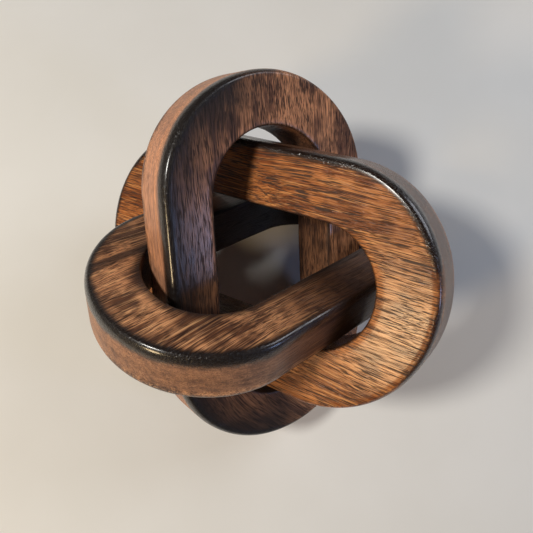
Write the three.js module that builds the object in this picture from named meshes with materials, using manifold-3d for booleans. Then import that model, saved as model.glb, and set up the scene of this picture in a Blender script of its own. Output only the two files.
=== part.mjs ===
import * as THREE from 'three';
import { mergeVertices } from 'three/addons/utils/BufferGeometryUtils.js';
import Module from 'manifold-3d';

// Three oval rings sawn from one board, each passing through the next one's
// hole. Whole rings can't be linked this way, so the left one is split across
// its arms and pegged back together round its neighbours.

const wasm = await Module();
wasm.setup();

// Driving dimensions, in millimetres
const STOCK_THICKNESS = 19;
const RING_LENGTH = 130;
const RING_WIDTH = 81;
const SIDE_PLAY = 12.7;    // between a ring's face and the side of the hole round it
const END_PLAY = 5.4;      // between a ring's edge and the end of the hole round it
const END_BULGE = 0.95;    // depth of a rounded end, as a share of half the width
const EDGE_INSET = 2;      // the burnt edge is taken back this far across the face
const EDGE_DEPTH = 3.8;    // and this far down the outer wall
const HOLE_EASE = 1.2;     // the hole's edges are only eased
const DOWEL_DIAMETER = 8;
const DOWEL_LENGTH = 28;
const FIT_GAP = 0.3;       // round a dowel, and between the split ring's halves
const SETTLED = 0.9254;    // the rings stand at this share of the lean at which they would bind
const MOST_LEAN = Math.PI / 6;

// Steps round a rounded end, across an edge and round a dowel
const END_STEPS = 22;
const EDGE_STEPS = 2;
const DOWEL_SIDES = 20;

// The rings are sawn by hand, so each is a little off the nominal size. They
// settle against one another, so each leans by its share of one common angle:
// roll about its own length, pitch about its width, yaw about its thickness.
const THIRD_TURN = 2 * Math.PI / 3;
const REAR_RING = {
  length: RING_LENGTH + 0.3,
  width: RING_WIDTH,
  sidePlay: SIDE_PLAY + 1,
  endPlay: END_PLAY - 0.5,
  turn: 0,
  lean: { roll: -0.94, pitch: 0.99, yaw: 0.04 },
  color: 0x7a5236,
};
const RIGHT_RING = {
  length: RING_LENGTH + 2.8,
  width: RING_WIDTH + 3.2,
  sidePlay: SIDE_PLAY - 1.1,
  endPlay: END_PLAY + 1.1,
  turn: -THIRD_TURN,
  lean: { roll: -0.89, pitch: 1.22, yaw: 0.14 },
  color: 0x9c6136,
};
const LEFT_RING = {
  length: RING_LENGTH - 3.1,
  width: RING_WIDTH - 2.4,
  sidePlay: SIDE_PLAY,
  endPlay: END_PLAY - 0.5,
  turn: THIRD_TURN,
  lean: { roll: -1.12, pitch: 0.9, yaw: -0.1 },
  color: 0x8b5c3c,
};
REAR_RING.guest = RIGHT_RING;
RIGHT_RING.guest = LEFT_RING;
LEFT_RING.guest = REAR_RING;

const holeLength = (ring) => ring.guest.width + 2 * ring.endPlay;
const holeWidth = (ring) => STOCK_THICKNESS + 2 * ring.sidePlay;

function toSolid(geometry) {
  const bare = geometry.clone();
  bare.deleteAttribute('normal');
  bare.deleteAttribute('uv');
  const merged = mergeVertices(bare, 1e-4);
  return new wasm.Manifold(new wasm.Mesh({
    numProp: 3,
    vertProperties: new Float32Array(merged.attributes.position.array),
    triVerts: new Uint32Array(merged.index.array),
  }));
}

function toGeometry(solid) {
  const mesh = solid.getMesh();
  const geometry = new THREE.BufferGeometry();
  geometry.setAttribute('position', new THREE.BufferAttribute(mesh.vertProperties, 3));
  geometry.setIndex(new THREE.BufferAttribute(mesh.triVerts, 1));
  geometry.computeVertexNormals();
  return geometry;
}

// Straight sides and rounded ends, lying along X
function oval(length, width, bulge) {
  const halfWidth = width / 2;
  const depth = halfWidth * bulge;
  const reach = length / 2 - depth;
  const quarter = Math.PI / 2;
  const outline = new THREE.Shape();
  outline.absellipse(reach, 0, depth, halfWidth, -quarter, quarter, false, 0);
  outline.absellipse(-reach, 0, depth, halfWidth, quarter, 3 * quarter, false, 0);
  return outline;
}

// A plug with the hole's outline, centred on the origin
function holeCore(ring, growth, thickness, ease) {
  const size = 2 * growth;
  const core = new THREE.ExtrudeGeometry(oval(holeLength(ring) + size, holeWidth(ring) + size, 1), {
    depth: thickness - 2 * ease,
    bevelEnabled: ease > 0,
    bevelThickness: ease,
    bevelSize: ease,
    bevelOffset: -ease,
    bevelSegments: 1,
    curveSegments: END_STEPS,
  });
  core.translate(0, 0, ease - thickness / 2);
  return core;
}

// A whole ring lying flat, centred on the origin: its outer edges are taken
// back all round, and its hole goes straight through with eased edges
function ringSolid(ring) {
  const blank = new THREE.ExtrudeGeometry(oval(ring.length, ring.width, END_BULGE), {
    depth: STOCK_THICKNESS - 2 * EDGE_DEPTH,
    bevelThickness: EDGE_DEPTH,
    bevelSize: EDGE_INSET,
    bevelOffset: -EDGE_INSET,
    bevelSegments: EDGE_STEPS,
    curveSegments: END_STEPS,
  });
  blank.translate(0, 0, EDGE_DEPTH - STOCK_THICKNESS / 2);
  let solid = toSolid(blank).subtract(toSolid(holeCore(ring, 0, 2 * STOCK_THICKNESS, 0)));
  for (const face of [-1, 1]) {
    const flare = holeCore(ring, HOLE_EASE, 3 * HOLE_EASE, HOLE_EASE);
    flare.translate(0, 0, face * (STOCK_THICKNESS + HOLE_EASE) / 2);
    solid = solid.subtract(toSolid(flare));
  }
  return solid;
}

// The middle of an arm, measured out from the ring's centre line
const armMiddle = (ring) => (ring.width + holeWidth(ring)) / 4;

// A dowel or its hole, lying along X across the split in the arm at offset Y
function peg(offset, diameter, length) {
  const rod = new THREE.CylinderGeometry(diameter / 2, diameter / 2, length, DOWEL_SIDES);
  rod.rotateZ(Math.PI / 2);
  rod.translate(0, offset, 0);
  return rod;
}

// One half of a split ring: side is +1 for the half towards +X, -1 for the other
function ringHalf(ring, side) {
  const block = new THREE.BoxGeometry(ring.length, 2 * ring.width, 2 * STOCK_THICKNESS);
  block.translate(side * (ring.length + FIT_GAP) / 2, 0, 0);
  let half = ringSolid(ring).intersect(toSolid(block));
  for (const arm of [-1, 1]) {
    const bore = peg(arm * armMiddle(ring), DOWEL_DIAMETER + 2 * FIT_GAP, DOWEL_LENGTH + 2 * FIT_GAP);
    half = half.subtract(toSolid(bore));
  }
  return half;
}

function wood(color) {
  return new THREE.MeshStandardMaterial({ color, roughness: 0.42, metalness: 0 });
}

function addPiece(group, name, geometry, color) {
  const mesh = new THREE.Mesh(geometry, wood(color));
  mesh.name = name;
  group.add(mesh);
}

function wholeRing(ring, name) {
  const group = new THREE.Group();
  addPiece(group, name, toGeometry(ringSolid(ring)), ring.color);
  return group;
}

function splitRing(ring) {
  const dowelColor = 0xc9a26b;
  const group = new THREE.Group();
  addPiece(group, 'key_ring_upper_half', toGeometry(ringHalf(ring, 1)), ring.color);
  addPiece(group, 'key_ring_lower_half', toGeometry(ringHalf(ring, -1)), ring.color);
  addPiece(group, 'inner_dowel', peg(-armMiddle(ring), DOWEL_DIAMETER, DOWEL_LENGTH), dowelColor);
  addPiece(group, 'outer_dowel', peg(armMiddle(ring), DOWEL_DIAMETER, DOWEL_LENGTH), dowelColor);
  return group;
}

// Squared up, the rings lie in three planes at right angles, with the diagonal
// between their axes upright, and each is a third of a turn from the next
function placeRing(group, ring, lean) {
  const diagonal = new THREE.Vector3(1, 1, 1).normalize();
  group.rotation.set(ring.lean.roll * lean, ring.lean.pitch * lean, ring.lean.yaw * lean);
  const tipped = new THREE.Group();
  tipped.quaternion.setFromUnitVectors(diagonal, new THREE.Vector3(0, 0, 1));
  const turned = new THREE.Group();
  turned.rotation.z = ring.turn;
  turned.add(tipped);
  tipped.add(group);
  turned.updateMatrixWorld(true);
  return turned;
}

// Whether any two whole rings cut into each other at this lean
function ringsBind(rings, solids, lean) {
  const placed = rings.map((ring, i) => {
    const spot = new THREE.Group();
    placeRing(spot, ring, lean);
    return solids[i].transform(spot.matrixWorld.elements);
  });
  return placed.some((solid, i) => solid.intersect(placed[(i + 1) % placed.length]).volume() > 0);
}

// The lean at which the rings bind, found by halving the range
function bindingLean(rings) {
  const solids = rings.map(ringSolid);
  let free = 0;
  let bound = MOST_LEAN;
  for (let round = 0; round < 20; round += 1) {
    const middle = (free + bound) / 2;
    if (ringsBind(rings, solids, middle)) bound = middle;
    else free = middle;
  }
  return free;
}

// The lowest point of one ring, for a given direction up
function lowestPoint(branch, up) {
  const lowest = new THREE.Vector3();
  const point = new THREE.Vector3();
  let least = Infinity;
  branch.traverse((mesh) => {
    if (!mesh.isMesh) return;
    const positions = mesh.geometry.getAttribute('position');
    for (let i = 0; i < positions.count; i += 1) {
      point.fromBufferAttribute(positions, i).applyMatrix4(mesh.matrixWorld);
      if (point.dot(up) < least) {
        least = point.dot(up);
        lowest.copy(point);
      }
    }
  });
  return lowest;
}

// The direction that is up when all three rings' lower ends touch the table
function levelDirection(branches) {
  const up = new THREE.Vector3(0, 0, 1);
  for (let round = 0; round < 12; round += 1) {
    const [a, b, c] = branches.map((branch) => lowestPoint(branch, up));
    up.crossVectors(b.sub(a), c.sub(a)).normalize();
    if (up.z < 0) up.negate();
  }
  return up;
}

function buildPuzzle() {
  const lean = SETTLED * bindingLean([REAR_RING, RIGHT_RING, LEFT_RING]);
  const branches = [
    placeRing(wholeRing(REAR_RING, 'rear_ring'), REAR_RING, lean),
    placeRing(wholeRing(RIGHT_RING, 'right_ring'), RIGHT_RING, lean),
    placeRing(splitRing(LEFT_RING), LEFT_RING, lean),
  ];
  const knot = new THREE.Group();
  knot.add(...branches);
  knot.updateMatrixWorld(true);
  knot.quaternion.setFromUnitVectors(levelDirection(branches), new THREE.Vector3(0, 0, 1));

  // The rear ring's raised end points to the back, along +Y
  const puzzle = new THREE.Group();
  puzzle.add(knot);
  puzzle.updateMatrixWorld(true);
  const rearRing = branches[0].getObjectByName('rear_ring');
  const rear = new THREE.Vector3(1, 0, 0).transformDirection(rearRing.matrixWorld);
  const facing = new THREE.Group();
  facing.add(puzzle);
  facing.rotation.z = Math.PI / 2 - Math.atan2(rear.y, rear.x);

  // The origin is under the middle of the object, on the table
  const standing = new THREE.Group();
  standing.add(facing);
  standing.updateMatrixWorld(true);
  const box = new THREE.Box3().setFromObject(standing, true);
  const middle = box.getCenter(new THREE.Vector3());
  facing.position.set(-middle.x, -middle.y, -box.min.z);
  return standing;
}

export default buildPuzzle();
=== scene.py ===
import math

import bmesh
import bpy
import numpy as np
from mathutils import Matrix, Vector, noise


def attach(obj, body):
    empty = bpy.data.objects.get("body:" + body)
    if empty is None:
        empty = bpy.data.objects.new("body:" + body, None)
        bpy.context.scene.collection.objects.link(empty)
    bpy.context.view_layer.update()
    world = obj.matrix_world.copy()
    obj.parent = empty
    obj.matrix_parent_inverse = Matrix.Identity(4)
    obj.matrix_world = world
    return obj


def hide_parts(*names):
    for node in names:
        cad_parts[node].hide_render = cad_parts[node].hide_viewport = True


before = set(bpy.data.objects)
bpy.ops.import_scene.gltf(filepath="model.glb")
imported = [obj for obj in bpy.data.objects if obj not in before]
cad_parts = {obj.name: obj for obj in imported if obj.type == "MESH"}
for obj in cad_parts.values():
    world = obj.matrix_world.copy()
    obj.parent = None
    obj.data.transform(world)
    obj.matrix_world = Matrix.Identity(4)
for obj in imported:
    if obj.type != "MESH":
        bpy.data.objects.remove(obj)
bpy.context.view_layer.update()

# ---------------------------------------------------------------- the camera
# The puzzle is looked down on from a little over a hand's length above the
# table, almost from straight overhead, with a moderately wide lens.

MM = 0.001
AIM = Vector((3.0, 5.4, 0.0)) * MM
VIEW_DISTANCE = 235.3 * MM
VIEW_AZIMUTH = math.radians(-13.3)
VIEW_ELEVATION = math.radians(79.8)
VIEW_ROLL = math.radians(-3.7)
SENSOR = 36.0
LENS = 35.9


def direction(azimuth, elevation):
    """The way out from the object: azimuth 0 is -Y, and positive turns to +X."""
    level = math.cos(elevation)
    return Vector((math.sin(azimuth) * level, -math.cos(azimuth) * level, math.sin(elevation)))


back = direction(VIEW_AZIMUTH, VIEW_ELEVATION)
up = (Vector((0, 1, 0)) - back * back.y).normalized()
up.rotate(Matrix.Rotation(VIEW_ROLL, 3, back))
camera = bpy.data.objects.new("camera", bpy.data.cameras.new("camera"))
camera.data.sensor_width = SENSOR
camera.data.lens = LENS
camera.matrix_world = Matrix.Translation(AIM + back * VIEW_DISTANCE) @ Matrix(
    (up.cross(back), up, back)
).transposed().to_4x4()
bpy.context.scene.collection.objects.link(camera)
bpy.context.scene.camera = camera

# --------------------------------------------------------------- the rear ring
# A flat oval ring cut whole from 19 mm open-grained hardwood. Its outer edges
# are rounded over by hand and burnt with a flame, its hole's edges only eased,
# and it is waxed to a satin gloss. Its raised end is at the back.

OFF_SEAM = 2.0 * MM


def ring_frame(nodes):
    """Reads a ring's length, width and thickness directions off its CAD faces.

    Most of the surface faces along the thickness, then the width, then the length.
    """
    spread = np.zeros((3, 3))
    points = []
    for node in nodes:
        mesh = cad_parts[node].data
        points += [vertex.co.copy() for vertex in mesh.vertices]
        for face in mesh.polygons:
            spread += face.area * np.outer(face.normal, face.normal)
    axes = [Vector(axis) for axis in np.linalg.eigh(spread)[1].T]
    axes = [axis if axis.z > 0 else -axis for axis in axes]
    centre = Vector()
    size = []
    for axis in axes:
        reach = [point.dot(axis) for point in points]
        centre += axis * (min(reach) + max(reach)) / 2
        size.append(max(reach) - min(reach))
    along, across, through = axes
    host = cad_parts[nodes[0]]
    off_seam = centre + along * OFF_SEAM
    hole_end = host.ray_cast(centre, along)[1]
    hole_side = host.ray_cast(off_seam, across)[1]
    turned = Matrix((along, across, through)).transposed().to_4x4()
    return {
        "place": Matrix.Translation(centre) @ turned,
        "length": size[0],
        "width": size[1],
        "thickness": size[2],
        "hole_length": 2 * (hole_end - centre).dot(along),
        "hole_width": 2 * (hole_side - off_seam).dot(across),
    }


END_BULGE = 0.95
EDGE_INSET = 2.0 * MM
EDGE_DEPTH = 3.8 * MM
HOLE_EASE = 1.0 * MM
END_STEPS = 84
SIDE_STEPS = 26
FACE_STEPS = 5
WALL_STEPS = 4
EDGE_STEPS = 6
EASE_STEPS = 3
SANDED_OFF = 0.12 * MM
HAND_WORK = 0.34 * MM
HAND_WORK_SPAN = 21.0 * MM
LEVEL = 0.9
SHARP_CORNER = math.radians(50)


def oval(bm, length, width, bulge):
    """An oval outline lying along X, as a closed loop of edges."""
    steps = 2 * END_STEPS
    verts = bmesh.ops.create_circle(bm, cap_ends=False, segments=steps, radius=1)["verts"]
    turn = Matrix.Rotation(math.pi / steps, 3, "Z")
    bmesh.ops.rotate(bm, verts=verts, cent=(0, 0, 0), matrix=turn)
    depth = width / 2 * bulge
    bmesh.ops.scale(bm, verts=verts, vec=(depth, width / 2, 1))
    for side in (-1, 1):
        end = [vert for vert in verts if vert.co.x * side > 0]
        bmesh.ops.translate(bm, verts=end, vec=(side * (length / 2 - depth), 0, 0))
    edges = dict.fromkeys(edge for vert in verts for edge in vert.link_edges)
    straight = [edge for edge in edges if edge.verts[0].co.x * edge.verts[1].co.x < 0]
    bmesh.ops.subdivide_edges(bm, edges=straight, cuts=SIDE_STEPS)


def rims(bm, outer):
    """The sharp edges between the faces and the outer wall, or the hole's wall."""
    found = []
    for edge in bm.edges:
        walls = [face for face in edge.link_faces if abs(face.normal.z) < 1 - LEVEL]
        flats = [face for face in edge.link_faces if abs(face.normal.z) > LEVEL]
        if len(walls) == 1 and len(flats) == 1:
            middle = (edge.verts[0].co + edge.verts[1].co) / 2
            if (walls[0].normal.xy.dot(middle.xy) > 0) == outer:
                found.append(edge)
    return found


def cut_ring(ring, seed):
    """A whole ring lying flat on its own axes, with the sizes of its CAD ring."""
    bm = bmesh.new()
    oval(bm, ring["length"], ring["width"], END_BULGE)
    oval(bm, ring["hole_length"], ring["hole_width"], 1)
    bmesh.ops.bridge_loops(bm, edges=bm.edges[:])
    outline = {edge for edge in bm.edges if edge.is_boundary}
    spokes = [edge for edge in bm.edges if edge not in outline]
    bmesh.ops.subdivide_edges(bm, edges=spokes, cuts=FACE_STEPS, use_grid_fill=True)

    # The edge is rounded on a thinner board, which is then brought to thickness,
    # so that the round goes further down the wall than it does across the face.
    stretch = EDGE_DEPTH / EDGE_INSET
    thin = ring["thickness"] / stretch
    raised = bmesh.ops.extrude_face_region(bm, geom=bm.faces[:])["geom"]
    raised = [item for item in raised if isinstance(item, bmesh.types.BMVert)]
    bmesh.ops.translate(bm, verts=raised, vec=(0, 0, thin))
    bmesh.ops.translate(bm, verts=bm.verts[:], vec=(0, 0, -thin / 2))
    bmesh.ops.recalc_face_normals(bm, faces=bm.faces[:])
    bmesh.ops.bevel(
        bm, geom=rims(bm, True), offset=EDGE_INSET, offset_type="OFFSET",
        segments=EDGE_STEPS, profile=0.5, affect="EDGES", material=-1,
    )
    bmesh.ops.scale(bm, verts=bm.verts[:], vec=(1, 1, stretch))
    bm.normal_update()
    bmesh.ops.bevel(
        bm, geom=rims(bm, False), offset=HOLE_EASE, offset_type="OFFSET",
        segments=EASE_STEPS, profile=0.5, affect="EDGES", material=-1,
    )
    walls = [edge for edge in bm.edges if stands_in_wall(edge)]
    bmesh.ops.subdivide_edges(bm, edges=walls, cuts=WALL_STEPS, use_grid_fill=True)
    bm.normal_update()
    shape_by_hand(bm, seed)
    return bm


def stands_in_wall(edge):
    """Whether an edge runs straight up the outer wall or the hole's wall."""
    run = edge.verts[1].co - edge.verts[0].co
    return abs(run.z) > LEVEL * run.length and run.length > 2 * EDGE_DEPTH


def shape_by_hand(bm, seed):
    """Sanding takes a little off everywhere, more in some places than others."""
    taken = {}
    for vert in bm.verts:
        place = vert.co / HAND_WORK_SPAN + Vector((seed, 0, 0))
        taken[vert] = SANDED_OFF + HAND_WORK * (0.5 + 0.5 * noise.noise(place))
    for vert, depth in taken.items():
        vert.co -= vert.normal * depth


def finish_piece(bm, name, ring):
    """Turns a piece into its place and makes a smooth-shaded object of it."""
    bmesh.ops.transform(bm, matrix=ring["place"], verts=bm.verts[:])
    bmesh.ops.recalc_face_normals(bm, faces=bm.faces[:])
    mesh = bpy.data.meshes.new(name)
    bm.to_mesh(mesh)
    bm.free()
    mesh.shade_smooth()
    mesh.set_sharp_from_angle(angle=SHARP_CORNER)
    piece = bpy.data.objects.new(name, mesh)
    bpy.context.scene.collection.objects.link(piece)
    return piece


class Signal:
    """A shader value. Python arithmetic on it adds Math nodes."""

    def __init__(self, finish, socket):
        self.finish = finish
        self.socket = socket

    def every_output(self):
        """All the outputs of the node this value comes from."""
        return [Signal(self.finish, socket) for socket in self.socket.node.outputs]

    def math(self, operation, *values):
        settings = {"operation": operation}
        return self.finish.node("ShaderNodeMath", settings, dict(enumerate((self, *values))))

    def __add__(self, other):
        return self.math("ADD", other)

    def __mul__(self, other):
        return self.math("MULTIPLY", other)

    def __sub__(self, other):
        return self.math("SUBTRACT", other)

    def __truediv__(self, other):
        return self.math("DIVIDE", other)

    def __rsub__(self, other):
        return self.finish.node("ShaderNodeMath", {"operation": "SUBTRACT"}, {0: other, 1: self})

    def __rtruediv__(self, other):
        return self.finish.node("ShaderNodeMath", {"operation": "DIVIDE"}, {0: other, 1: self})

    __radd__ = __add__
    __rmul__ = __mul__

    def ramp(self, low, high):
        """0 below low, 1 above high, and smooth between; low may be the greater."""
        settings = {"interpolation_type": "SMOOTHSTEP"}
        return self.finish.node("ShaderNodeMapRange", settings, {0: self, 1: low, 2: high})


# Sockets that share their names with others on the same node go by their place
OBJECT_COORDINATES = 3
MIX_FACTOR, MIX_A, MIX_B, MIX_RESULT = 0, 6, 7, 2
NOISE_VALUE, NOISE_COLOUR = 0, 1


class Finish:
    """A material and its nodes."""

    def __init__(self, name):
        self.material = bpy.data.materials.new(name)
        self.material.use_nodes = True
        self.tree = self.material.node_tree
        self.tree.nodes.clear()

    def node(self, kind, settings=None, inputs=None, output=0):
        """A node with its settings, then its socket values and links."""
        made = self.tree.nodes.new(kind)
        for name, value in (settings or {}).items():
            setattr(made, name, value)
        for socket, value in (inputs or {}).items():
            if isinstance(value, Signal):
                self.tree.links.new(value.socket, made.inputs[socket])
            else:
                made.inputs[socket].default_value = value
        return Signal(self, made.outputs[output]) if made.outputs else None

    def vector(self, operation, a, b):
        return self.node("ShaderNodeVectorMath", {"operation": operation}, {0: a, 1: b})

    def noise(self, place, stretch, detail=2.0, roughness=0.5, output=NOISE_VALUE):
        """Noise on a place stretched by a factor along each axis."""
        inputs = {
            "Vector": self.vector("MULTIPLY", place, stretch),
            "Scale": 1.0, "Detail": detail, "Roughness": roughness,
        }
        return self.node("ShaderNodeTexNoise", None, inputs, output)

    def mix(self, factor, a, b):
        """One colour to the other as the factor goes from 0 to 1."""
        inputs = {MIX_FACTOR: factor, MIX_A: a, MIX_B: b}
        return self.node("ShaderNodeMix", {"data_type": "RGBA"}, inputs, MIX_RESULT)

    def surface(self, sockets):
        """Closes the material with a principled surface."""
        shader = self.node("ShaderNodeBsdfPrincipled", None, sockets)
        self.node("ShaderNodeOutputMaterial", None, {"Surface": shader})
        return self.material


def in_own_frame(finish, ring):
    """Millimetres along, across and through the board, from Object coordinates."""
    to_ring = ring["place"].inverted()
    per_metre = 1 / MM
    coordinates = finish.node("ShaderNodeTexCoord", output=OBJECT_COORDINATES)
    return finish.node("ShaderNodeMapping", {"vector_type": "POINT"}, {
        "Vector": coordinates,
        "Location": to_ring.translation * per_metre,
        "Rotation": to_ring.to_euler("XYZ"),
        "Scale": (per_metre, per_metre, per_metre),
    })


def inside_oval(across, along, length, width, bulge):
    """How far a place is inside an oval outline, in millimetres."""
    depth = width / 2 * bulge
    past = (along.math("ABSOLUTE") - (length / 2 - depth)).math("MAXIMUM", 0.0) * (1 / bulge)
    out = (past * past + across * across).math("SQRT")
    return width / 2 - out


# Figure in the wood: how often it repeats in a millimetre along, across and
# through the board, then the detail and roughness of its noise
FIGURE = {
    "bands": (0.011, 0.15, 0.11, 2.0, 0.5),
    "streaks": (0.030, 0.75, 0.75, 3.0, 0.6),
    "lines": (0.045, 2.3, 2.3, 2.0, 0.6),
    "fibres": (0.20, 5.0, 5.0, 2.0, 0.6),
    "coarse pores": (0.17, 2.7, 2.7, 1.0, 0.4),
    "fine pores": (0.24, 4.6, 4.6, 1.0, 0.4),
    "shimmer": (0.13, 0.09, 0.09, 2.0, 0.5),
    "bend": (0.016, 0.03, 0.03, 1.0, 0.5),
    "layers": (0.018, 0.018, 0.30, 2.0, 0.5),
    "rays": (0.06, 0.06, 2.2, 2.0, 0.6),
    "patches": (0.040, 0.040, 0.040, 2.0, 0.5),
    "ragged": (0.10, 0.30, 0.30, 3.0, 0.6),
    "crackle": (1.1, 1.5, 1.5, 1.0, 0.55),
}
NOISE_MIDDLE = 0.5
BEND_REACH = (0, 9, 9)
SWING_START = 12.0

# Tone: the share of each kind of figure, and where dark turns to light
TONE_BANDS, TONE_STREAKS, TONE_LINES, TONE_SHIMMER = 0.46, 0.30, 0.24, 0.45
TONE_SPAN = (0.39, 0.59)
BRIGHT_LINES, BRIGHT_STREAKS, BRIGHT_SHARE = (0.48, 0.64), (0.40, 0.58), 0.55
HEART_SPAN = (0.54, 0.66)
COARSE_PORE_EDGE, FINE_PORE_EDGE = 0.10, 0.12
PORES_LOST_ON_WALL = 0.5
# How the darkening towards the lower end of a ring varies with the figure
LOWER_END_DARK_LEAST, LOWER_END_DARK_SHIMMER = 0.7, 0.6

# The outer wall, in millimetres in from the outline and down from the face
WALL_INSET, WALL_DEPTH = (1.6, 0.6), (3.0, 5.2)
WALL_LAYERS, WALL_RAYS, WALL_STREAKS = 0.42, 0.38, 0.20
WALL_SPAN, WALL_SHARE = (0.38, 0.62), 0.75

# The flame: how its strength gathers, and how far it bites from edge and face; also the singe and
# painted shade round and in the hole
PATCHES, FLAME_OFF = 1.5, 0.25
FLAME_BELOW, FLAME_ABOVE, FLAME_SPAN = 0.35, 0.65, (-4.0, 4.0)
BITE_EDGE, BITE_EDGE_RAGGED, BITE_EDGE_LEAST, BITE_EDGE_FLAME = 1.9, 1.6, 0.30, 0.70
BITE_FACE, BITE_FACE_RAGGED, BITE_FACE_LEAST, BITE_FACE_FLAME = 3.0, 1.8, 0.20, 0.80
CHAR_SPAN, CHAR_LEAST, CHAR_FLAME, CHAR_SHARE = (1.45, 0.75), 0.65, 0.35, 0.94
SCORCH_FULL, SCORCH_DEPTH, SCORCH_SHARE = 0.5, (4.5, 1.5), 0.95
# Round the hole: a thin singed line on the edge, widened by a painted shade gradient
HOLE_SINGE_SHADE_FULL, HOLE_SINGE_SHADE_SHARE, HOLE_SINGE_SHADE_FACE = 0.4, 0.9, 0.5
# Painted shade on the hole's walls: full within 0.2 mm of the hole's outline, gone by 1.2 mm
HOLE_SHADE_SPAN = (1.2, 0.2)

# The waxed surface: relief, roughness and gloss
RELIEF, RELIEF_PORES, RELIEF_FIBRES, RELIEF_LINES, RELIEF_CHAR = 0.6, 0.55, 0.12, 0.16, 2.5
BUMP_STRENGTH, BUMP_DISTANCE = 0.7, 0.20 * MM
ROUGH_PORES, ROUGH_FIBRES, SMOOTH_CHAR = 0.20, 0.16, 0.10
WAX, WAX_LOST_IN_PORES, WAX_LOST_ON_WALL, WAX_ON_CHAR = 0.34, 0.30, 0.7, 0.55
WAX_ROUGHNESS, WOOD_IOR, WOOD_SPECULAR = 0.18, 1.48, 0.32


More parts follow.
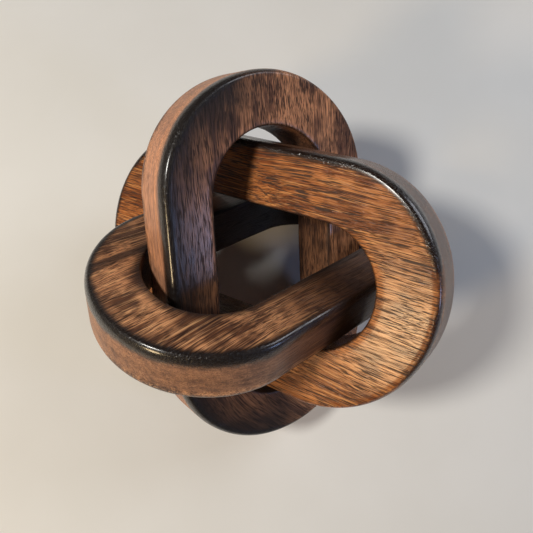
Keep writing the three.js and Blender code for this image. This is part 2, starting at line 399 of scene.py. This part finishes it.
def wood(name, ring, seed, look):
    """The hardwood of one ring, with its burnt edges."""
    finish = Finish(name)
    place = in_own_frame(finish, ring)
    along, across, through = finish.node("ShaderNodeSeparateXYZ", None, {0: place}).every_output()
    shifted = finish.vector("ADD", place, (seed, seed, seed))

    def figure(kind, where, stretch=1.0, output=NOISE_VALUE):
        by_length, by_width, by_depth, detail, roughness = FIGURE[kind]
        scale = (by_length * stretch, by_width, by_depth)
        return finish.noise(where, scale, detail, roughness, output)

    # Distances in millimetres from the outer outline, the hole and the nearer face
    edge = inside_oval(across, along, ring["length"] / MM, ring["width"] / MM, END_BULGE)
    hole = 0.0 - inside_oval(across, along, ring["hole_length"] / MM, ring["hole_width"] / MM, 1.0)
    face = ring["thickness"] / MM / 2 - through.math("ABSOLUTE")
    wall = edge.ramp(*WALL_INSET) * face.ramp(*WALL_DEPTH)

    # The grain wanders a little, and in some boards swings aside at the lower end
    bend = figure("bend", shifted, output=NOISE_COLOUR)
    bend = finish.vector("SUBTRACT", bend, (NOISE_MIDDLE,) * 3)
    grain = finish.vector("ADD", shifted, finish.vector("MULTIPLY", bend, BEND_REACH))
    if "swing" in look:
        below = (along + SWING_START).math("MINIMUM", 0.0)
        swing = finish.node("ShaderNodeCombineXYZ", None, {1: below * below * look["swing"]})
        grain = finish.vector("ADD", grain, swing)

    bands, streaks, lines, fibres, coarse, fine = (
        figure(kind, grain, look["stretch"])
        for kind in ("bands", "streaks", "lines", "fibres", "coarse pores", "fine pores")
    )
    shimmer = figure("shimmer", grain)
    coarse = coarse.ramp(look["pore_from"], look["pore_from"] + COARSE_PORE_EDGE)
    fine = fine.ramp(look["pore_from"], look["pore_from"] + FINE_PORE_EDGE)
    pores = coarse.math("MAXIMUM", fine) * (1.0 - wall * PORES_LOST_ON_WALL)

    tone = bands * TONE_BANDS + streaks * TONE_STREAKS + lines * TONE_LINES
    tone = tone + (shimmer - NOISE_MIDDLE) * TONE_SHIMMER
    colour = finish.mix(tone.ramp(*TONE_SPAN), look["dark"], look["light"])
    bright = lines.ramp(*BRIGHT_LINES) * streaks.ramp(*BRIGHT_STREAKS) * BRIGHT_SHARE
    colour = finish.mix(bright, colour, look["bright"])
    colour = finish.mix(bands.ramp(*HEART_SPAN) * look["streaky"], colour, look["heart"])
    wall_tone = figure("layers", shifted) * WALL_LAYERS + figure("rays", shifted) * WALL_RAYS
    wall_tone = wall_tone + streaks * WALL_STREAKS
    wall_colour = finish.mix(wall_tone.ramp(*WALL_SPAN), look["wall_dark"], look["wall"])
    colour = finish.mix(wall * WALL_SHARE, colour, wall_colour)
    # Darker towards the lower end of the ring
    if "lower_end_dark" in look:
        lower_end_darkening = along.ramp(*look["lower_end_dark_span"]) * (LOWER_END_DARK_LEAST + shimmer * LOWER_END_DARK_SHIMMER)
        colour = finish.mix(lower_end_darkening * look["lower_end_dark"], colour, look["heart"])
    colour = finish.mix(pores * look["pore_depth"], colour, look["pore"])

    # The flame went over the upper edges, and stayed longer in some places
    reach = ring["width"] / MM
    lean = along * (look["flame"][0] / reach) + across * (look["flame"][1] / reach)
    burn = (lean + figure("patches", shifted) * PATCHES - FLAME_OFF).ramp(0.0, 1.0)
    burn = burn * (FLAME_BELOW + through.ramp(*FLAME_SPAN) * FLAME_ABOVE)
    ragged = figure("ragged", grain)
    bite = (BITE_EDGE + ragged * BITE_EDGE_RAGGED) * (BITE_EDGE_LEAST + burn * BITE_EDGE_FLAME)
    from_edge = edge / bite
    bite = (BITE_FACE + ragged * BITE_FACE_RAGGED) * (BITE_FACE_LEAST + burn * BITE_FACE_FLAME)
    from_face = face / bite
    away = (from_edge * from_edge + from_face * from_face).math("SQRT")
    char = away.ramp(*CHAR_SPAN) * (CHAR_LEAST + burn * CHAR_FLAME)
    scorch = edge.ramp(look["scorch"], SCORCH_FULL) * face.ramp(*SCORCH_DEPTH) * burn
    # Round the hole's edge: a thin singed line, widened by a painted shade gradient
    near_hole = (hole * hole + face * face * HOLE_SINGE_SHADE_FACE).math("SQRT")
    hole_singe_and_shade = near_hole.ramp(look["hole_singe_and_shade"], HOLE_SINGE_SHADE_FULL) * HOLE_SINGE_SHADE_SHARE
    # Painted shade darkens the hole's walls
    hole_wall_painted_shade = hole.ramp(*HOLE_SHADE_SPAN) * look["hole_wall_painted_shade"]
    colour = finish.mix(scorch * SCORCH_SHARE, colour, look["scorched_and_shade"])
    colour = finish.mix(hole_singe_and_shade.math("MAXIMUM", hole_wall_painted_shade), colour, look["scorched_and_shade"])
    colour = finish.mix(char * CHAR_SHARE, colour, look["char"])

    # Pores stay open under the wax; the burnt edge is crackled
    height = RELIEF - pores * RELIEF_PORES + fibres * RELIEF_FIBRES + lines * RELIEF_LINES
    height = height + figure("crackle", shifted) * char * RELIEF_CHAR
    bump = {"Strength": BUMP_STRENGTH, "Distance": BUMP_DISTANCE, "Height": height}
    rough = look["roughness"] + pores * ROUGH_PORES + (fibres - NOISE_MIDDLE) * ROUGH_FIBRES
    coat = (WAX - pores * WAX_LOST_IN_PORES) * (1.0 - wall * WAX_LOST_ON_WALL)
    return finish.surface({
        "Base Color": colour, "Roughness": rough - char * SMOOTH_CHAR,
        "Coat Weight": coat + char * WAX_ON_CHAR, "Coat Roughness": WAX_ROUGHNESS,
        "IOR": WOOD_IOR, "Specular IOR Level": WOOD_SPECULAR,
        "Normal": finish.node("ShaderNodeBump", None, bump),
    })


COMMON_COLOURS = {
    "pore": (0.022, 0.008, 0.004, 1),
    "char": (0.0085, 0.0052, 0.0040, 1),
    # Scorched wood, also the colour of the painted shade in and round the hole
    "scorched_and_shade": (0.015, 0.008, 0.006, 1),
    "heart": (0.050, 0.020, 0.012, 1),
}
REAR_WOOD = COMMON_COLOURS | {
    "light": (0.660, 0.285, 0.130, 1), "dark": (0.150, 0.056, 0.026, 1),
    "bright": (0.760, 0.360, 0.180, 1),
    "wall": (0.88, 0.410, 0.215, 1), "wall_dark": (0.52, 0.270, 0.180, 1),
    "streaky": 0.35, "lower_end_dark": 0.28, "lower_end_dark_span": (36.0, 4.0), "scorch": 27.0, "hole_singe_and_shade": 1.6,
    "hole_wall_painted_shade": 0.50, "flame": (-0.25, 2.8), "stretch": 1.0, "swing": 0.011,
    "pore_from": 0.53, "pore_depth": 0.85, "roughness": 0.45,
}
REAR_SEED = 3.0
REAR_GRAIN = 31.0

rear = ring_frame(["rear_ring"])
rear_piece = finish_piece(cut_ring(rear, REAR_SEED), "rear_ring_wood", rear)
rear_piece.data.materials.append(wood("rear ring hardwood", rear, REAR_GRAIN, REAR_WOOD))
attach(rear_piece, "rear_ring_body")
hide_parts("rear_ring")

# -------------------------------------------------------------- the right ring
# The same kind of ring from a redder board, cut whole. Its end wall is grey
# with smoke and its face is glossier. Its raised end is at the lower right.

RIGHT_WOOD = COMMON_COLOURS | {
    "light": (0.530, 0.190, 0.055, 1), "dark": (0.200, 0.058, 0.017, 1),
    "bright": (0.800, 0.390, 0.140, 1),
    "wall": (0.13, 0.090, 0.072, 1), "wall_dark": (0.060, 0.044, 0.038, 1),
    "streaky": 0.40, "scorch": 4.0, "hole_singe_and_shade": 1.4,
    "hole_wall_painted_shade": 0.90, "flame": (-0.2, 1.0), "stretch": 0.5,
    "pore_from": 0.545, "pore_depth": 0.90, "roughness": 0.27,
}
RIGHT_SEED = 11.0
RIGHT_GRAIN = 74.0

right = ring_frame(["right_ring"])
right_piece = finish_piece(cut_ring(right, RIGHT_SEED), "right_ring_wood", right)
right_piece.data.materials.append(wood("right ring hardwood", right, RIGHT_GRAIN, RIGHT_WOOD))
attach(right_piece, "right_ring_body")
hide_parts("right_ring")

# ---------------------------------------------------------------- the key ring
# The left ring is cut and rounded whole like the others, then sawn across its
# arms and bored for a dowel in each. Closed up, the joint is a hairline.

KEY_WOOD = COMMON_COLOURS | {
    "light": (0.780, 0.350, 0.150, 1), "dark": (0.130, 0.050, 0.023, 1),
    "bright": (1.000, 0.540, 0.240, 1),
    "wall": (0.34, 0.165, 0.092, 1), "wall_dark": (0.15, 0.070, 0.042, 1),
    "streaky": 0.90, "lower_end_dark": 0.92, "lower_end_dark_span": (38.0, -8.0), "scorch": 5.0, "hole_singe_and_shade": 4.5,
    "hole_wall_painted_shade": 0.90, "flame": (1.2, 0.1), "stretch": 0.6,
    "pore_from": 0.55, "pore_depth": 0.78, "roughness": 0.40,
}
KEY_SEED = 23.0
KEY_GRAIN = 152.0
SEAM = 0.03 * MM
BORE_DIAMETER = 8.6 * MM
BORE_DEPTH = 14.3 * MM
BORE_STEPS = 32


def half_ring(whole, ring, side):
    """The half of a ring towards side, with its cut ends closed round two bores."""
    bm = whole.copy()
    bmesh.ops.bisect_plane(
        bm, geom=bm.verts[:] + bm.edges[:] + bm.faces[:],
        plane_co=(side * SEAM / 2, 0, 0), plane_no=(side, 0, 0), clear_inner=True,
    )
    cut = [edge for edge in bm.edges if edge.is_boundary]
    arm_middle = (ring["width"] + ring["hole_width"]) / 4
    for arm in (-1, 1):
        section = [edge for edge in cut if edge.verts[0].co.y * arm > 0]
        bore = Matrix.Translation((side * SEAM / 2, arm * arm_middle, 0)) @ Matrix.Rotation(
            math.pi / 2, 4, "Y"
        )
        mouth = bmesh.ops.create_circle(
            bm, cap_ends=False, segments=BORE_STEPS, radius=BORE_DIAMETER / 2, matrix=bore
        )["verts"]
        lip = list(dict.fromkeys(edge for vert in mouth for edge in vert.link_edges))
        bmesh.ops.triangle_fill(bm, edges=section + lip, use_beauty=True)
        sunk = bmesh.ops.extrude_edge_only(bm, edges=lip)["geom"]
        floor_verts = [item for item in sunk if isinstance(item, bmesh.types.BMVert)]
        floor_edges = [
            item for item in sunk
            if isinstance(item, bmesh.types.BMEdge) and all(v in floor_verts for v in item.verts)
        ]
        bmesh.ops.translate(bm, verts=floor_verts, vec=(side * BORE_DEPTH, 0, 0))
        bmesh.ops.holes_fill(bm, edges=floor_edges, sides=BORE_STEPS)
    return bm


key = ring_frame(["key_ring_upper_half", "key_ring_lower_half"])
key_material = wood("key ring hardwood", key, KEY_GRAIN, KEY_WOOD)
whole_key = cut_ring(key, KEY_SEED)
for half, side, body in (("upper", 1, "key_ring_top"), ("lower", -1, "key_ring_base")):
    piece = finish_piece(half_ring(whole_key, key, side), f"key_ring_{half}_half_wood", key)
    piece.data.materials.append(key_material)
    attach(piece, body)
    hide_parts(f"key_ring_{half}_half")
whole_key.free()

# ------------------------------------------------------------------ the dowels
# A fluted beech dowel crosses each joint of the key ring. It is glued into the
# lower half, and the upper half slips over it. The beech is plain and sanded.

DOWEL_STEPS = 72
FLUTES = 18
FLUTE_DEPTH = 0.22 * MM
DOWEL_CHAMFER = 0.9 * MM
DOWEL_CHAMFER_STEPS = 2
CLOSE = 1.0 * MM
BEECH_DARK, BEECH_LIGHT = (0.50, 0.32, 0.17, 1), (0.66, 0.46, 0.27, 1)
BEECH_FLECK = (0.33, 0.18, 0.09, 1)
BEECH_GRAIN, BEECH_GRAIN_SPAN, BEECH_GRAIN_DETAIL = (0.10, 1.2, 1.2), (0.35, 0.65), 3.0
FLECKS, FLECK_SPAN, FLECK_DETAIL, FLECK_SHARE = (0.6, 4.5, 4.5), (0.60, 0.72), 1.0, 0.55
BEECH_BUMP, BEECH_BUMP_DISTANCE = 0.3, 0.1 * MM
BEECH_ROUGHNESS, FLECK_SHEEN = 0.62, 0.1


def dowel(node):
    """A dowel with the place and size of its CAD node."""
    lying = key["place"].inverted()
    points = [lying @ vertex.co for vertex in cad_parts[node].data.vertices]
    low = Vector(min(point[i] for point in points) for i in range(3))
    high = Vector(max(point[i] for point in points) for i in range(3))
    length, diameter = high.x - low.x, high.z - low.z
    bm = bmesh.new()
    bmesh.ops.create_cone(
        bm, cap_ends=True, segments=DOWEL_STEPS, radius1=diameter / 2, radius2=diameter / 2,
        depth=length, matrix=Matrix.Rotation(math.pi / 2, 4, "Y"),
    )
    ends = [edge for edge in bm.edges if abs(edge.verts[0].co.x - edge.verts[1].co.x) < CLOSE]
    bmesh.ops.bevel(
        bm, geom=ends, offset=DOWEL_CHAMFER, offset_type="OFFSET",
        segments=DOWEL_CHAMFER_STEPS, profile=0.5, affect="EDGES", material=-1,
    )
    for vert in bm.verts:
        round_at = math.atan2(vert.co.z, vert.co.y)
        spoke = Vector((0, vert.co.y, vert.co.z))
        if spoke.length > CLOSE:
            groove = FLUTE_DEPTH * (0.5 + 0.5 * math.cos(FLUTES * round_at))
            vert.co -= spoke.normalized() * groove
    bmesh.ops.translate(bm, verts=bm.verts[:], vec=(low + high) / 2)
    return finish_piece(bm, f"{node}_wood", key)


def beech():
    """Plain sanded beech, with fine flecks along the grain."""
    finish = Finish("beech dowel")
    place = in_own_frame(finish, key)
    grain = finish.noise(place, BEECH_GRAIN, BEECH_GRAIN_DETAIL)
    flecks = finish.noise(place, FLECKS, FLECK_DETAIL).ramp(*FLECK_SPAN)
    colour = finish.mix(grain.ramp(*BEECH_GRAIN_SPAN), BEECH_DARK, BEECH_LIGHT)
    bump = {"Strength": BEECH_BUMP, "Distance": BEECH_BUMP_DISTANCE, "Height": grain}
    return finish.surface({
        "Base Color": finish.mix(flecks * FLECK_SHARE, colour, BEECH_FLECK),
        "Roughness": BEECH_ROUGHNESS - flecks * FLECK_SHEEN,
        "Normal": finish.node("ShaderNodeBump", None, bump),
    })


dowel_material = beech()
for node in ("inner_dowel", "outer_dowel"):
    piece = dowel(node)
    piece.data.materials.append(dowel_material)
    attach(piece, "key_ring_base")
    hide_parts(node)

# ------------------------------------------------------------------- the table
# A pale matt table top, warm white and faintly uneven. It is set dressing and
# no part of the puzzle.

TABLE_SIZE = 3.0
TABLE_DARK, TABLE_LIGHT = (0.770, 0.762, 0.726, 1), (0.805, 0.800, 0.770, 1)
MOTTLE, MOTTLE_SPAN, MOTTLE_DETAIL = (14, 14, 14), (0.3, 0.7), 4.0
TABLE_ROUGHNESS = 0.6

table_finish = Finish("table")
table_place = table_finish.node("ShaderNodeTexCoord", output=OBJECT_COORDINATES)
mottle = table_finish.noise(table_place, MOTTLE, MOTTLE_DETAIL)
table_colour = table_finish.mix(mottle.ramp(*MOTTLE_SPAN), TABLE_DARK, TABLE_LIGHT)

table_shape = bmesh.new()
bmesh.ops.create_grid(table_shape, x_segments=1, y_segments=1, size=TABLE_SIZE / 2)
table_mesh = bpy.data.meshes.new("table")
table_shape.to_mesh(table_mesh)
table_shape.free()
table_mesh.materials.append(
    table_finish.surface({"Base Color": table_colour, "Roughness": TABLE_ROUGHNESS})
)
table = bpy.data.objects.new("table", table_mesh)
bpy.context.scene.collection.objects.link(table)

# ------------------------------------------------------------------- the light
# Soft daylight: a window from the left, a warm lower light at the near left, a
# weak cool one from the right and a broad pale one from the far side.

# Azimuth and elevation in degrees, distance and size in metres, power, colour
LIGHTS = {
    "window": (-90, 56, 0.85, 0.155, 4.05, (1.0, 0.965, 0.905)),
    "near_left": (-54.5, 33.7, 0.85, 0.17, 2.15, (1.0, 0.74, 0.42)),
    "cool_right": (66, 24, 0.80, 0.15, 0.7, (0.42, 0.58, 1.0)),
    "far_side": (118, 31, 1.10, 0.60, 4.2, (0.88, 0.91, 1.0)),
}
ROOM_COLOUR = (0.86, 0.90, 1.0, 1)
ROOM_STRENGTH = 0.045

for name, (azimuth, elevation, distance, width, power, colour) in LIGHTS.items():
    lamp = bpy.data.objects.new(name, bpy.data.lights.new(name, "AREA"))
    lamp.data.shape = "DISK"
    lamp.data.size = width
    lamp.data.energy = power
    lamp.data.color = colour
    out = direction(math.radians(azimuth), math.radians(elevation))
    lamp.location = out * distance
    lamp.rotation_mode = "QUATERNION"
    lamp.rotation_quaternion = out.to_track_quat("Z", "Y")
    bpy.context.scene.collection.objects.link(lamp)

world = bpy.data.worlds.new("room")
world.use_nodes = True
room = world.node_tree.nodes["Background"]
room.inputs["Color"].default_value = ROOM_COLOUR
room.inputs["Strength"].default_value = ROOM_STRENGTH
bpy.context.scene.world = world
bpy.context.scene.view_settings.view_transform = "Standard"
